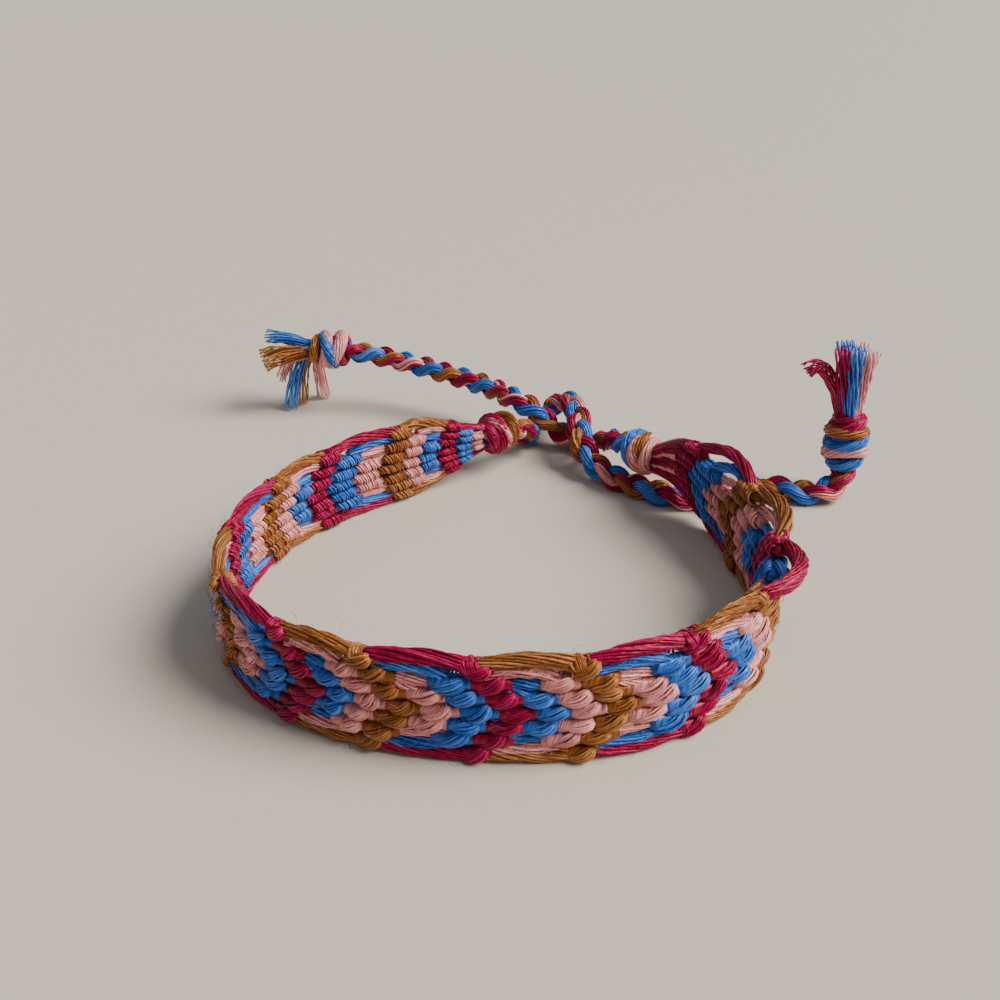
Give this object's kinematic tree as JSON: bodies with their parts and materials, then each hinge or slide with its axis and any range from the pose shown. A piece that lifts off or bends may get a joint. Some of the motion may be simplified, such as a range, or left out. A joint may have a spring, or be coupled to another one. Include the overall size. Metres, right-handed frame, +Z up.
{
  "type": "friendship bracelet",
  "caption": "Knotted cotton bracelet with a chevron pattern, closed into a loop by two braided ties that end in knots and tassels.",
  "frame": {"origin": "on the surface that the bracelet lies on, under the middle of its outline", "axes": "+Z up, through the wrist opening; -Y towards the front of the loop, opposite the ties; +X towards the start tie's tassel"},
  "size_m": [0.0758, 0.0785, 0.019],
  "materials": {
    "chevron_knots": "knotted cotton floss in crimson, brown, pink and blue rows, soft sheen",
    "crimson_floss": "mercerised cotton floss, soft sheen",
    "blue_floss": "mercerised cotton floss, soft sheen",
    "pink_floss": "mercerised cotton floss, soft sheen",
    "brown_floss": "mercerised cotton floss, soft sheen"
  },
  "bodies": {
    "root": {"knotted_band": "chevron_knots", "start_end_knot": "brown_floss", "finish_end_knot": "brown_floss", "start_braid_strand_1": "crimson_floss", "start_braid_strand_2": "blue_floss", "start_braid_strand_3": "brown_floss", "finish_braid_strand_1": "crimson_floss", "finish_braid_strand_2": "blue_floss", "finish_braid_strand_3": "brown_floss", "start_stopper_knot": "pink_floss", "finish_stopper_knot": "pink_floss", "start_tassel": "blue_floss", "finish_tassel": "brown_floss"}
  },
  "joints": []
}
